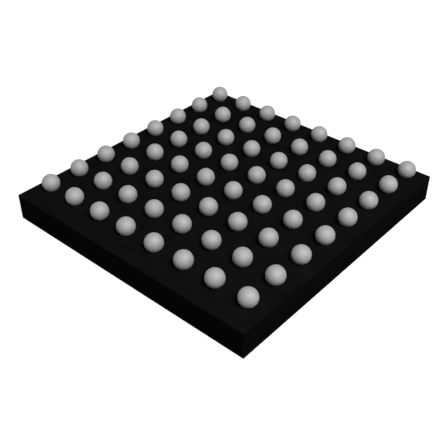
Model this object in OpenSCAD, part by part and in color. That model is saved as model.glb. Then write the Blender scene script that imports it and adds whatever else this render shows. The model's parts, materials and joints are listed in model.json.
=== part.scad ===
// Ball grid array package with 64 solder balls, lying on its marking face, balls up.
//
// A moulded, wire-bonded laminate package. From the marking face (z = 0) upwards:
// moulding compound around the die and its wires, die-side solder mask, laminate core with
// copper on both faces and plated vias, ball-side solder mask, solder balls.
// X and Y run along the sides, and the origin is the middle of the marking face.

/* [Ball array] */
// Centre distance of neighbouring solder balls
ball_pitch = 1.0; // [0.95:0.01:1.05]
// Widest diameter of a solder ball after reflow
ball_d = 0.5; // [0.42:0.01:0.56]
// Diameter of the solder mask opening that each ball fills
mask_opening_d = 0.3; // [0.25:0.01:0.34]
// Array's middle, from the body's middle, along X
array_shift_x = -0.04; // [-0.05:0.01:0.05]
// Array's middle, from the body's middle, along Y
array_shift_y = 0.19; // [-0.2:0.01:0.2]

/* [Body] */
// Body's side faces, from the outer balls' centres, with the array centred, along X
margin_x = 0.5; // [0.45:0.01:0.7]
// Body's side faces, from the outer balls' centres, with the array centred, along Y
margin_y = 0.6; // [0.55:0.01:0.8]
// Thickness of the moulding compound
mold_t = 0.52; // [0.48:0.01:0.8]
// Diameter of the pin 1 dimple in the marking face
pin_mark_d = 0.6; // [0.4:0.05:1]
// Depth of the pin 1 dimple
pin_mark_depth = 0.04; // [0.02:0.01:0.08]
// Centre of the pin 1 dimple, from both side faces
pin_mark_inset = 0.9; // [0.8:0.05:1.2]

/* [Substrate] */
// Thickness of the laminate core
core_t = 0.18; // [0.1:0.01:0.3]
// Thickness of the copper on each face of the core
copper_t = 0.018; // [0.012:0.001:0.025]
// Thickness of each solder mask, from the core's face
mask_t = 0.035; // [0.03:0.001:0.045]
// Diameter of the copper pad under each ball
ball_pad_d = 0.4; // [0.36:0.01:0.42]
// Width of the strap from each ball pad to its via
strap_w = 0.12; // [0.08:0.01:0.15]
// Diameter of the drilled via holes
via_drill_d = 0.2; // [0.16:0.01:0.22]
// Thickness of the copper plated in the via holes
via_plating_t = 0.02; // [0.015:0.001:0.025]
// Diameter of the copper land round each via
via_land_d = 0.3; // [0.28:0.01:0.33]
// Width of the traces on the die side
trace_w = 0.05; // [0.04:0.005:0.06]
// Gap between the via lands and the row of bond fingers
finger_gap = 0.15; // [0.12:0.01:0.16]
// Length of a bond finger
finger_l = 0.24; // [0.2:0.01:0.26]
// Width of a bond finger
finger_w = 0.09; // [0.07:0.005:0.1]
// Centre distance of neighbouring bond fingers
finger_pitch = 0.2; // [0.17:0.01:0.21]
// How far the solder mask covers each end of a bond finger
finger_cover = 0.03; // [0.02:0.005:0.04]

/* [Die] */
// Width of the square die
die_w = 3.6; // [3.2:0.1:3.8]
// Thickness of the die
die_t = 0.18; // [0.1:0.01:0.2]
// Thickness of the film that holds the die
attach_t = 0.02; // [0.01:0.005:0.03]
// Width of a square bond pad on the die
bond_pad_w = 0.08; // [0.065:0.005:0.1]
// Thickness of a bond pad on the die
bond_pad_t = 0.004; // [0.003:0.001:0.006]
// Centre distance of neighbouring bond pads
bond_pad_pitch = 0.18; // [0.14:0.01:0.2]
// Centre of the bond pads, from the die's edge
bond_pad_inset = 0.1; // [0.08:0.01:0.16]

/* [Bond wires] */
// Diameter of the bond wire
wire_d = 0.025; // [0.018:0.001:0.03]
// Straight rise of the wire above its ball bond
wire_rise = 0.05; // [0.03:0.005:0.06]
// Radius of the bend at the top of the wire, to its middle line
wire_bend_r = 0.04; // [0.03:0.005:0.05]
// Diameter of the pressed ball bond
ball_bond_d = 0.06; // [0.05:0.005:0.065]
// Thickness of the pressed ball bond
ball_bond_t = 0.014; // [0.01:0.001:0.02]
// Diameter of the stitch foot on the bond finger
stitch_d = 0.07; // [0.05:0.005:0.07]
// Thickness of the stitch foot
stitch_t = 0.01; // [0.008:0.001:0.012]

/* [Hidden] */
// Facets of a drawn circle, and of the wires, which are much smaller
$fn = 32;
wire_fn = 16;

// Balls along each side of the array, one lettered row each
balls_per_side = 8;
// Ball columns from the array's middle to its edge
rings = balls_per_side / 2;
// Bonds along each side of the die
bonds_per_side = rings * rings;

array_span = (balls_per_side - 1) * ball_pitch;
body_x = array_span + 2 * margin_x;
body_y = array_span + 2 * margin_y;

// Heights of the layers, from the marking face up
core_z = mold_t + mask_t;
core_top = core_z + core_t;
ball_face = core_top + mask_t;
ball_r = ball_d / 2;
opening_r = mask_opening_d / 2;
ball_z = ball_face + sqrt(pow(ball_r, 2) - pow(opening_r, 2));

// Heights on the die side, which faces down
die_face = mold_t - attach_t - die_t;
bond_z = die_face - bond_pad_t;
finger_face = core_z - copper_t;

// Places of the bond fingers and bond pads, from the middle of their own side
finger_start = (rings - 2) * ball_pitch + via_land_d / 2 + finger_gap;
finger_end = finger_start + finger_l;
finger_mid = finger_start + finger_l / 2;
// Lanes for traces along a row of fingers, from its edge
lane = finger_gap / 2;
second_lane = lane + 2 * trace_w;
// Steepest straight trace to a finger, as its rise over its run
steepest = 1.5;
bond_pad_at = die_w / 2 - bond_pad_inset;

via_bore_d = via_drill_d - 2 * via_plating_t;

// The wire is a hair thicker in its bend, so that both straight lengths end inside it
bend_d = 1.04 * wire_d;
bend_overlap = wire_d / 25;

// What a cut reaches past the faces that it leaves open
over = 0.1;

// ---- Places ----

// The array's own frame, off the middle of the body
module at_array() {
    translate([array_shift_x, array_shift_y, 0]) children();
}

// Four copies, a quarter turn apart: each side of the package is the first one turned
module each_side() {
    for (side = [0:3]) rotate(90 * side) children();
}

// The east side's share of the array. Ring r has 2r + 1 balls there, and the last one
// before each corner belongs to the next side.
east_nets = [for (ring = [0:rings - 1]) for (row = [-ring:ring]) [ring, row]];

function ball_at(net) = ball_pitch * [net[0] + 0.5, net[1] - 0.5];
function via_at(net) = ball_at(net) - [ball_pitch / 2, 0];

// Nets in a row of vias, and the first bond of that row, counted from the south
function nets_in(row) = rings - abs(row);
function nets_below(row) = row <= -rings ? 0 : nets_below(row - 1) + nets_in(row - 1);
function bond_of(net) = nets_below(net[1]) + rings - 1 - net[0];

// A bond's place along its side. Like the vias, each side's bonds lie half a pitch towards
// the corner before it.
function along(bond, pitch) = (bond - bonds_per_side / 2) * pitch;
function finger_y(net) = along(bond_of(net), finger_pitch);

// ---- Solder balls ----

// Reflowed ball, flat where it is wetted to the pad, with a neck through the mask opening
module solder_ball() {
    color("silver") {
        translate([0, 0, core_top + copper_t])
            cylinder(d = mask_opening_d, h = mask_t - copper_t);
        difference() {
            translate([0, 0, ball_z]) sphere(r = ball_r);
            translate([0, 0, ball_face - ball_r])
                cube([2 * ball_d, 2 * ball_d, 2 * ball_r], center = true);
        }
    }
}

// One lettered row along X. Row a is the northernmost.
module solder_ball_row(row) {
    at_array()
        for (column = [0:balls_per_side - 1])
            translate([column * ball_pitch - array_span / 2, array_span / 2 - row * ball_pitch, 0])
                solder_ball();
}

// ---- Copper ----

// Flat strip with round ends between two points
module strip(from, to, width) {
    run = to - from;
    translate(from) circle(d = width);
    translate(to) circle(d = width);
    translate(from) rotate(atan2(run[1], run[0]))
        translate([0, -width / 2]) square([norm(run), width]);
}

// Pad under a ball, its via land and the strap between them, with the via bore filled
module ball_net_outline(net) {
    translate(ball_at(net)) circle(d = ball_pad_d);
    translate(via_at(net)) circle(d = via_land_d);
    strip(ball_at(net), via_at(net), strap_w);
}

module ball_side_copper() {
    color("peru")
        translate([0, 0, core_top]) linear_extrude(copper_t)
            at_array() each_side() for (net = east_nets) difference() {
                ball_net_outline(net);
                translate(via_at(net)) circle(d = via_bore_d);
            }
}

// Point in front of a net's bond finger, where its trace turns towards its via
function turn_at(net, gap) =
    let (rise = via_at(net)[1] - finger_y(net))
    [net[0] == rings - 1 ? finger_end + gap : finger_start - gap,
     finger_y(net) + sign(rise) * min(abs(rise), gap)];

// Corners of the trace from a via to its bond finger. The outer ring's traces come in from
// outside the row of fingers, and the others run out to it from under the die.
function trace_points(net) =
    let (
        ring = net[0],
        row = net[1],
        via = via_at(net),
        outer = ring == rings - 1,
        end = [outer ? finger_end : finger_start, finger_y(net)],
        run = end - via,
        steep = abs(run[1]) > steepest * abs(run[0]),
        between = ball_pitch * (rings - 1.5 + rings - 1) / 2,
        // From the line of vias in front of the die to the lane beside the fingers
        line = (rings - 2) * ball_pitch,
        aside = finger_start - lane - line
    )
    // The corner net passes midway between the two vias next to it
    outer && row == -ring ? [via, [between, -between], turn_at(net, lane), end]
    // Its neighbour keeps to a second lane, outside it
    : outer && row == 1 - ring ? [via, turn_at(net, second_lane), end]
    // The inner corner net runs up between the next land and the fingers
    : ring == rings - 2 && row == -ring ? [via, via + [aside, aside], turn_at(net, lane), end]
    // Two nets from under the die step round the land in front of them
    : ring == rings - 3 && row != 0 ? [via, [line, row * (ball_pitch / 2 + sqrt(2) * aside)], end]
    // The rest run straight, and only turn at the finger where they would pass its neighbour
    : steep ? [via, turn_at(net, lane), end]
    : [via, end];

module bond_finger(net) {
    translate([finger_start, finger_y(net) - finger_w / 2]) square([finger_l, finger_w]);
}

// Via land, trace and bond finger of one net, with the via bore filled
module die_net_outline(net) {
    points = trace_points(net);
    translate(via_at(net)) circle(d = via_land_d);
    for (i = [0:len(points) - 2]) strip(points[i], points[i + 1], trace_w);
    bond_finger(net);
}

module die_side_copper() {
    color("peru")
        translate([0, 0, finger_face]) linear_extrude(copper_t)
            at_array() each_side() for (net = east_nets) difference() {
                die_net_outline(net);
                translate(via_at(net)) circle(d = via_bore_d);
            }
}

// A copy at each of the vias
module at_vias() {
    at_array() each_side() for (net = east_nets) translate(via_at(net)) children();
}

module via_barrels() {
    color("peru")
        translate([0, 0, core_z]) linear_extrude(core_t) at_vias() difference() {
            circle(d = via_drill_d);
            circle(d = via_bore_d);
        }
}

module via_plugs() {
    color("darkslategray")
        translate([0, 0, finger_face]) at_vias()
            cylinder(d = via_bore_d, h = core_t + 2 * copper_t);
}

// ---- Laminate and solder masks ----

// A layer of the full body outline
module layer(z, t) {
    translate([-body_x / 2, -body_y / 2, z]) cube([body_x, body_y, t]);
}

module substrate_core() {
    color("#1c1f1d")
        difference() {
            layer(core_z, core_t);
            translate([0, 0, core_z - over]) at_vias()
                cylinder(d = via_drill_d, h = core_t + 2 * over);
        }
}

module solder_mask_ball_side() {
    color("#151515")
        difference() {
            layer(core_top, mask_t);
            translate([0, 0, core_top - over]) linear_extrude(copper_t + over)
                at_array() each_side() for (net = east_nets) ball_net_outline(net);
            translate([0, 0, core_top + copper_t / 2]) at_array()
                each_side() for (net = east_nets) translate(ball_at(net))
                    cylinder(d = mask_opening_d, h = mask_t + over);
        }
}

// The slot in the die-side mask that bares one side's row of fingers, and half a finger's
// width past each end of the row
module finger_window(z, t) {
    row_l = (bonds_per_side - 1) * finger_pitch + 2 * finger_w;
    translate([finger_start + finger_cover, along(0, finger_pitch) - finger_w, z])
        cube([finger_l - 2 * finger_cover, row_l, t]);
}

module solder_mask_die_side() {
    color("#151515")
        difference() {
            layer(mold_t, mask_t);
            translate([0, 0, finger_face]) linear_extrude(copper_t + over)
                at_array() each_side() for (net = east_nets) die_net_outline(net);
            at_array() each_side() finger_window(mold_t - over, mask_t + 2 * over);
        }
}

// ---- Die and wires ----

// The die sits under the middle of the array, so that all four sides are wired alike
module die_attach_film() {
    color("gainsboro")
        at_array() translate([-die_w / 2, -die_w / 2, mold_t - attach_t])
            cube([die_w, die_w, attach_t]);
}

module silicon_die() {
    color("slategray")
        at_array() translate([-die_w / 2, -die_w / 2, die_face]) cube([die_w, die_w, die_t]);
}

module die_bond_pads() {
    color("lightgray")
        translate([0, 0, bond_z]) linear_extrude(bond_pad_t) at_array() each_side()
            for (bond = [0:bonds_per_side - 1])
                translate([bond_pad_at, along(bond, bond_pad_pitch)])
                    square(bond_pad_w, center = true);
}

// A wire standing at the origin, along +X: ball bond, rise, bend, then a straight run down
// to the foot at distance reach, whose seat is drop below the ball bond's
module bond_wire(reach, drop) {
    $fn = wire_fn;
    bend = [wire_bend_r, ball_bond_t + wire_rise];
    span = [reach, wire_d / 2 - drop] - bend;
    straight = sqrt(span * span - pow(wire_bend_r, 2));
    slope = atan2(-span[1], span[0]) + atan2(wire_bend_r, straight);

    cylinder(d = ball_bond_d, h = ball_bond_t);
    translate([0, 0, ball_bond_t / 2])
        cylinder(d = wire_d, h = bend[1] - ball_bond_t / 2 + bend_overlap);
    translate([bend[0], 0, bend[1]]) rotate([90, 0, 0]) rotate([0, 0, 90 - slope]) {
        rotate_extrude(angle = 90 + slope) translate([wire_bend_r, 0]) circle(d = bend_d);
        translate([wire_bend_r, bend_overlap, 0]) rotate([90, 0, 0])
            cylinder(d = wire_d, h = straight + bend_overlap);
    }
    translate([reach, 0, -drop]) cylinder(d = stitch_d, h = stitch_t);
}

// The 16 wires of one side, which hang down from the die's face to the bond fingers
module bond_wires(side) {
    color("gold")
        translate([0, 0, bond_z]) at_array() rotate(90 * side)
            for (bond = [0:bonds_per_side - 1]) {
                pad = [bond_pad_at, along(bond, bond_pad_pitch)];
                run = [finger_mid, along(bond, finger_pitch)] - pad;
                translate(pad) rotate(atan2(run[1], run[0])) mirror([0, 0, 1])
                    bond_wire(norm(run), finger_face - bond_z);
            }
}

// ---- Moulding compound ----

module mold_cap() {
    color("#101010")
        difference() {
            union() {
                layer(0, mold_t);
                at_array() each_side() finger_window(mold_t - over, mask_t + over);
            }
            translate([0, 0, finger_face]) linear_extrude(copper_t + over)
                at_array() each_side() for (net = east_nets) bond_finger(net);
            die_attach_film();
            silicon_die();
            die_bond_pads();
            for (side = [0:3]) bond_wires(side);
            translate([body_x / 2 - pin_mark_inset, body_y / 2 - pin_mark_inset, -over])
                cylinder(d = pin_mark_d, h = pin_mark_depth + over);
        }
}

solder_ball_row(0);  // solder_ball_row_a
solder_ball_row(1);  // solder_ball_row_b
solder_ball_row(2);  // solder_ball_row_c
solder_ball_row(3);  // solder_ball_row_d
solder_ball_row(4);  // solder_ball_row_e
solder_ball_row(5);  // solder_ball_row_f
solder_ball_row(6);  // solder_ball_row_g
solder_ball_row(7);  // solder_ball_row_h
solder_mask_ball_side();
ball_side_copper();
substrate_core();
via_barrels();
via_plugs();
die_side_copper();
solder_mask_die_side();
die_attach_film();
silicon_die();
die_bond_pads();
bond_wires(0);  // bond_wires_east
bond_wires(1);  // bond_wires_north
bond_wires(2);  // bond_wires_west
bond_wires(3);  // bond_wires_south
mold_cap();
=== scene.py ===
"""A ball grid array chip package, balls up on a pale table.

Gives every part its finish, and the solder balls a finer form.
"""

import json
import math

import bmesh
import bpy
from mathutils import Matrix, Vector


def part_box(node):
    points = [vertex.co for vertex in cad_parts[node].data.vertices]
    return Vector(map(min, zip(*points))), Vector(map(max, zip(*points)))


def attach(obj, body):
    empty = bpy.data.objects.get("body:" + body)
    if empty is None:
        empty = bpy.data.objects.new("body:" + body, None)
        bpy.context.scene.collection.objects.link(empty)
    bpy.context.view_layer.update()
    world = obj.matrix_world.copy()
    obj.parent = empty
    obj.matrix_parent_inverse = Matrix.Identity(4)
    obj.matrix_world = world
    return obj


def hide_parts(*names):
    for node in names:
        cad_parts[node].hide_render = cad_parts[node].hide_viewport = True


MM = 0.001

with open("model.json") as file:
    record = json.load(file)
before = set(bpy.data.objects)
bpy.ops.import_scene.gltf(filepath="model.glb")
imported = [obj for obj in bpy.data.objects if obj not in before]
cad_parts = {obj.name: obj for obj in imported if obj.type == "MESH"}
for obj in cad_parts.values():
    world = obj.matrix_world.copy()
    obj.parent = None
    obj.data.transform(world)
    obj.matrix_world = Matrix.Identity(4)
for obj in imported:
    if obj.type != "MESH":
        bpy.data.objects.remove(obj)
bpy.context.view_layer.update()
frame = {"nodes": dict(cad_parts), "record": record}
nodes = frame["nodes"]

# ---------------------------------------------------------------- sizes, read from the frame

BALL_ROWS = ["a", "b", "c", "d", "e", "f", "g", "h"]
BALLS_PER_ROW = 8
ROW_NODE = "solder_ball_row_"

# Facets of a ball round its equator and from pole to pole
BALL_SEGMENTS = 48
BALL_RINGS = 32

# The face that the balls stand on
FACE_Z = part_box("solder_mask_ball_side")[1].z


# ---------------------------------------------------------------- materials


class Finish:
    """A node material, with short calls for the textures that the package's surfaces share.

    Its plain colour and roughness are about the middle of what the textures spread them over.
    """

    def __init__(self, name, color, roughness, metallic=0.0, specular=0.5):
        self.material = bpy.data.materials.new(name)
        self.material.use_nodes = True
        self.tree = self.material.node_tree
        self.shader = self.tree.nodes["Principled BSDF"]
        self.shader.inputs["Base Color"].default_value = (*color, 1.0)
        self.shader.inputs["Roughness"].default_value = roughness
        self.shader.inputs["Metallic"].default_value = metallic
        self.shader.inputs["Specular IOR Level"].default_value = specular
        self.place = self.tree.nodes.new("ShaderNodeTexCoord").outputs["Object"]

    def node(self, kind, **settings):
        made = self.tree.nodes.new(kind)
        for key, value in settings.items():
            setattr(made, key, value)
        return made

    def link(self, source, target):
        self.tree.links.new(source, target)

    def stretched(self, scale):
        """Object coordinates, multiplied along each axis."""
        mapping = self.node("ShaderNodeMapping")
        mapping.inputs["Scale"].default_value = scale
        self.link(self.place, mapping.inputs["Vector"])
        return mapping.outputs["Vector"]

    def noise(self, per_mm, detail=3.0, rough=0.5, stretch=(1.0, 1.0, 1.0)):
        """Noise with about per_mm spots to a millimetre."""
        texture = self.node("ShaderNodeTexNoise")
        texture.inputs["Scale"].default_value = 1.0
        texture.inputs["Detail"].default_value = detail
        texture.inputs["Roughness"].default_value = rough
        per_metre = per_mm / MM
        self.link(
            self.stretched([per_metre * s for s in stretch]), texture.inputs["Vector"]
        )
        return texture.outputs["Fac"]

    def grains(self, per_mm):
        """Cells like packed grains, about per_mm of them to a millimetre."""
        texture = self.node("ShaderNodeTexVoronoi")
        texture.inputs["Scale"].default_value = 1.0
        per_metre = per_mm / MM
        self.link(self.stretched([per_metre] * 3), texture.inputs["Vector"])
        return texture.outputs["Distance"]

    def spread(self, value, low, high, to_low, to_high):
        """Maps value from low..high to to_low..to_high."""
        ranged = self.node("ShaderNodeMapRange")
        for name, number in (
            ("From Min", low),
            ("From Max", high),
            ("To Min", to_low),
            ("To Max", to_high),
        ):
            ranged.inputs[name].default_value = number
        self.link(value, ranged.inputs["Value"])
        return ranged.outputs["Result"]

    def tint(self, value, dark, light):
        """Colours the surface from dark to light with value, 0 to 1."""
        mixed = self.node("ShaderNodeMix", data_type="RGBA")
        mixed.inputs["A"].default_value = (*dark, 1.0)
        mixed.inputs["B"].default_value = (*light, 1.0)
        self.link(value, mixed.inputs["Factor"])
        self.link(mixed.outputs["Result"], self.shader.inputs["Base Color"])

    def roughen(self, value, low, high):
        """Spreads the roughness from low to high with value, about 0.3 to 0.7."""
        self.link(
            self.spread(value, 0.3, 0.7, low, high), self.shader.inputs["Roughness"]
        )

    def bump(self, height, depth_mm, strength=1.0):
        """Adds relief, on top of what the surface has already."""
        relief = self.node("ShaderNodeBump")
        relief.inputs["Strength"].default_value = strength
        relief.inputs["Distance"].default_value = depth_mm * MM
        self.link(height, relief.inputs["Height"])
        normal = self.shader.inputs["Normal"]
        if normal.is_linked:
            self.link(normal.links[0].from_socket, relief.inputs["Normal"])
        self.link(relief.outputs["Normal"], normal)


def solder_finish():
    solder = Finish("reflowed_solder", (0.495, 0.495, 0.495), 0.7, metallic=0.3, specular=0.05)
    cloud = solder.noise(7.0, detail=2.0)
    dendrites = solder.noise(60.0, detail=4.0, rough=0.65)
    solder.tint(
        solder.spread(cloud, 0.3, 0.7, 0.0, 1.0), (0.47, 0.47, 0.47), (0.52, 0.52, 0.52)
    )
    solder.roughen(dendrites, 0.65, 0.75)
    solder.bump(dendrites, 0.0012)
    return solder.material


def solder_mask_finish():
    mask = Finish("black_solder_mask", (0.00725, 0.00725, 0.00725), 0.8, specular=0.002)
    mottle = mask.noise(2.4, detail=5.0, rough=0.6)
    orange_peel = mask.noise(22.0, detail=3.0)
    mask.tint(
        mask.spread(mottle, 0.3, 0.7, 0.0, 1.0),
        (0.0055, 0.0055, 0.0055),
        (0.009, 0.009, 0.009),
    )
    mask.roughen(orange_peel, 0.72, 0.88)
    mask.bump(orange_peel, 0.002)
    return mask.material


def laminate_finish():
    """Sawn edge of the glass-fibre core: short bundles of fibre in dark resin."""
    core = Finish("sawn_laminate", (0.0042, 0.0042, 0.0042), 0.75, specular=0.002)
    fibres = core.noise(9.0, detail=4.0, stretch=(1.0, 1.0, 7.0))
    core.tint(
        core.spread(fibres, 0.35, 0.7, 0.0, 1.0), (0.0032, 0.0032, 0.0032), (0.0052, 0.0052, 0.0052)
    )
    core.roughen(fibres, 0.65, 0.85)
    core.bump(fibres, 0.002)
    return core.material


def mold_finish():
    """Moulding compound: carbon-black resin full of fine silica grains."""
    mold = Finish("moulding_compound", (0.0041, 0.0041, 0.0041), 0.79, specular=0.002)
    grains = mold.grains(45.0)
    cloud = mold.noise(1.6, detail=4.0)
    mold.tint(
        mold.spread(cloud, 0.3, 0.7, 0.0, 1.0), (0.0034, 0.0034, 0.0034), (0.0048, 0.0048, 0.0048)
    )
    mold.roughen(grains, 0.7, 0.88)
    mold.bump(grains, 0.0015)
    return mold.material


def copper_finish():
    copper = Finish("etched_copper", (0.71, 0.4, 0.27), 0.4, metallic=1.0)
    etch = copper.noise(80.0, detail=3.0)
    copper.tint(copper.spread(etch, 0.3, 0.7, 0.0, 1.0), (0.62, 0.33, 0.21), (0.8, 0.48, 0.33))
    copper.roughen(etch, 0.3, 0.5)
    copper.bump(etch, 0.001)
    return copper.material


def resin_finish():
    resin = Finish("via_resin", (0.05, 0.07, 0.06), 0.5)
    cloud = resin.noise(25.0)
    resin.tint(cloud, (0.04, 0.06, 0.05), (0.06, 0.08, 0.07))
    resin.roughen(cloud, 0.45, 0.6)
    return resin.material


def film_finish():
    film = Finish("die_attach_film", (0.7, 0.68, 0.6), 0.6)
    cloud = film.noise(12.0)
    film.tint(cloud, (0.62, 0.6, 0.52), (0.76, 0.74, 0.66))
    film.roughen(cloud, 0.5, 0.7)
    return film.material


def silicon_finish():
    silicon = Finish("silicon", (0.22, 0.23, 0.26), 0.18, metallic=0.6)
    grind = silicon.noise(6.0, detail=4.0, stretch=(1.0, 12.0, 1.0))
    silicon.tint(grind, (0.18, 0.19, 0.22), (0.27, 0.28, 0.31))
    silicon.roughen(grind, 0.12, 0.26)
    return silicon.material


def pad_finish():
    pad = Finish("pad_aluminium", (0.8, 0.8, 0.82), 0.3, metallic=1.0)
    grains = pad.noise(120.0)
    pad.tint(grains, (0.74, 0.74, 0.76), (0.86, 0.86, 0.88))
    pad.roughen(grains, 0.25, 0.4)
    return pad.material


def gold_finish():
    gold = Finish("bond_gold", (0.86, 0.64, 0.24), 0.22, metallic=1.0)
    drawn = gold.noise(90.0)
    gold.tint(drawn, (0.8, 0.56, 0.18), (0.92, 0.7, 0.3))
    gold.roughen(drawn, 0.16, 0.3)
    return gold.material


finishes = {
    "solder": solder_finish(),
    "solder_mask": solder_mask_finish(),
    "laminate": laminate_finish(),
    "mold_compound": mold_finish(),
    "copper": copper_finish(),
    "via_resin": resin_finish(),
    "attach_film": film_finish(),
    "silicon": silicon_finish(),
    "pad_aluminium": pad_finish(),
    "gold": gold_finish(),
}

for part in frame["record"]["subparts"]:
    surface = nodes[part["node"]].data
    surface.materials.clear()
    surface.materials.append(finishes[part["material_slot"]])


# ---------------------------------------------------------------- solder balls


def reflowed_ball(centre, radius, foot_z):
    """One ball, cut flat where it seats on the mask, with its neck down to the pad."""
    ball = bmesh.new()
    bmesh.ops.create_uvsphere(
        ball, u_segments=BALL_SEGMENTS, v_segments=BALL_RINGS, radius=radius
    )
    bmesh.ops.translate(ball, verts=ball.verts, vec=centre)
    cut = bmesh.ops.bisect_plane(
        ball,
        geom=ball.verts[:] + ball.edges[:] + ball.faces[:],
        plane_co=(0.0, 0.0, FACE_Z),
        plane_no=(0.0, 0.0, -1.0),
        clear_outer=True,
    )
    rim = [item for item in cut["geom_cut"] if isinstance(item, bmesh.types.BMEdge)]
    neck = bmesh.ops.extrude_edge_only(ball, edges=rim)["geom"]
    foot = [item for item in neck if isinstance(item, bmesh.types.BMVert)]
    bmesh.ops.translate(ball, verts=foot, vec=(0.0, 0.0, foot_z - FACE_Z))
    foot_edges = [
        item
        for item in neck
        if isinstance(item, bmesh.types.BMEdge) and all(v in foot for v in item.verts)
    ]
    bmesh.ops.contextual_create(ball, geom=foot_edges)
    bmesh.ops.recalc_face_normals(ball, faces=ball.faces)
    # All but the foot is shaded smooth
    for face in ball.faces:
        face.smooth = abs(face.normal.z) < 0.999 or len(face.verts) < 8
    return ball


def ball_row(letter):
    """The balls of one lettered row, as one piece in place of the row's solids."""
    node = ROW_NODE + letter
    low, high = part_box(node)
    radius = (high.y - low.y) / 2
    first = Vector((low.x + radius, (low.y + high.y) / 2, high.z - radius))
    pitch = (high.x - low.x - 2 * radius) / (BALLS_PER_ROW - 1)
    row = bmesh.new()
    for column in range(BALLS_PER_ROW):
        centre = first + Vector((column * pitch, 0.0, 0.0))
        ball = reflowed_ball(centre, radius, low.z)
        mesh = bpy.data.meshes.new("ball")
        ball.to_mesh(mesh)
        ball.free()
        row.from_mesh(mesh)
        bpy.data.meshes.remove(mesh)
    mesh = bpy.data.meshes.new("reflowed_ball_row_" + letter)
    row.to_mesh(mesh)
    row.free()
    mesh.materials.append(finishes["solder"])
    piece = bpy.data.objects.new("reflowed_ball_row_" + letter, mesh)
    bpy.context.scene.collection.objects.link(piece)
    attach(piece, "root")
    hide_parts(node)


for letter in BALL_ROWS:
    ball_row(letter)


# ---------------------------------------------------------------- table, light and camera


def seen_rays(tree):
    """1 for rays that show a surface, straight on or by gloss or glass, and 0 for rays that light one."""
    rays = tree.nodes.new("ShaderNodeLightPath")
    seen = rays.outputs["Is Camera Ray"]
    for kind in ("Is Glossy Ray", "Is Transmission Ray"):
        either = tree.nodes.new("ShaderNodeMath")
        either.operation = "MAXIMUM"
        tree.links.new(seen, either.inputs[0])
        tree.links.new(rays.outputs[kind], either.inputs[1])
        seen = either.outputs["Value"]
    return seen


def table():
    """Plain pale floor. It shows as white, apart from the package's soft shadow, and throws back little."""
    half_width = 2.0
    bounce = 0.2
    shadow_depth = 0.25
    glow_strength = 0.93
    floor = bmesh.new()
    bmesh.ops.create_grid(floor, x_segments=1, y_segments=1, size=half_width)
    mesh = bpy.data.meshes.new("table")
    floor.to_mesh(mesh)
    floor.free()
    white = bpy.data.materials.new("table_white")
    white.use_nodes = True
    tree = white.node_tree
    plain = tree.nodes["Principled BSDF"]
    plain.inputs["Base Color"].default_value = (bounce, bounce, bounce, 1.0)
    plain.inputs["Roughness"].default_value = 0.9
    plain.inputs["Specular IOR Level"].default_value = 0.1
    seen = tree.nodes.new("ShaderNodeBsdfDiffuse")
    seen.inputs["Color"].default_value = (shadow_depth, shadow_depth, shadow_depth, 1.0)
    glow = tree.nodes.new("ShaderNodeEmission")
    glow.inputs["Strength"].default_value = glow_strength
    lit = tree.nodes.new("ShaderNodeAddShader")
    tree.links.new(seen.outputs["BSDF"], lit.inputs[0])
    tree.links.new(glow.outputs["Emission"], lit.inputs[1])
    choose = tree.nodes.new("ShaderNodeMixShader")
    tree.links.new(seen_rays(tree), choose.inputs["Fac"])
    tree.links.new(plain.outputs["BSDF"], choose.inputs[1])
    tree.links.new(lit.outputs["Shader"], choose.inputs[2])
    tree.links.new(choose.outputs["Shader"], tree.nodes["Material Output"].inputs["Surface"])
    mesh.materials.append(white)
    piece = bpy.data.objects.new("table", mesh)
    bpy.context.scene.collection.objects.link(piece)


def studio_world():
    """Dim, even fill light, and a white backdrop where the camera or a reflection looks past the table."""
    fill_strength = 0.03
    world = bpy.data.worlds.new("studio")
    bpy.context.scene.world = world
    world.use_nodes = True
    tree = world.node_tree
    fill = tree.nodes["Background"]
    fill.inputs["Color"].default_value = (1.0, 1.0, 1.0, 1.0)
    fill.inputs["Strength"].default_value = fill_strength
    backdrop = tree.nodes.new("ShaderNodeBackground")
    backdrop.inputs["Color"].default_value = (1.0, 1.0, 1.0, 1.0)
    backdrop.inputs["Strength"].default_value = 1.0
    choose = tree.nodes.new("ShaderNodeMixShader")
    tree.links.new(seen_rays(tree), choose.inputs["Fac"])
    tree.links.new(fill.outputs["Background"], choose.inputs[1])
    tree.links.new(backdrop.outputs["Background"], choose.inputs[2])
    tree.links.new(choose.outputs["Shader"], tree.nodes["World Output"].inputs["Surface"])


def outward(azimuth, elevation):
    """Unit vector from the package towards a place around it, in degrees; azimuth 0 is the -Y side."""
    a, e = math.radians(azimuth), math.radians(elevation)
    return Vector((math.sin(a) * math.cos(e), -math.cos(a) * math.cos(e), math.sin(e)))


def softbox(name, azimuth, elevation, distance, width, watts):
    """Round lamp that faces the package."""
    light = bpy.data.lights.new(name, "AREA")
    light.shape = "DISK"
    light.size = width
    light.energy = watts
    lamp = bpy.data.objects.new(name, light)
    direction = outward(azimuth, elevation)
    lamp.location = direction * distance
    lamp.rotation_euler = direction.to_track_quat("Z", "Y").to_euler()
    bpy.context.scene.collection.objects.link(lamp)


def camera():
    """Looks down over the corner between the -Y and +X sides."""
    data = bpy.data.cameras.new("camera")
    data.sensor_width = 36.0
    data.lens = 59.1
    data.clip_start = MM
    data.clip_end = 10.0
    eye = Vector((11.02, -12.81, 12.14)) * MM
    aim = Vector((1.06, -1.40, 0.77)) * MM
    turned = (eye - aim).to_track_quat("Z", "Y").to_matrix().to_4x4()
    view = bpy.data.objects.new("camera", data)
    view.matrix_world = Matrix.Translation(eye) @ turned
    bpy.context.scene.collection.objects.link(view)
    bpy.context.scene.camera = view


table()
studio_world()
softbox(
    "key_softbox",
    azimuth=68.0,
    elevation=54.0,
    distance=60 * MM,
    width=25 * MM,
    watts=0.02808,
)
camera()
bpy.context.scene.view_settings.view_transform = "Standard"
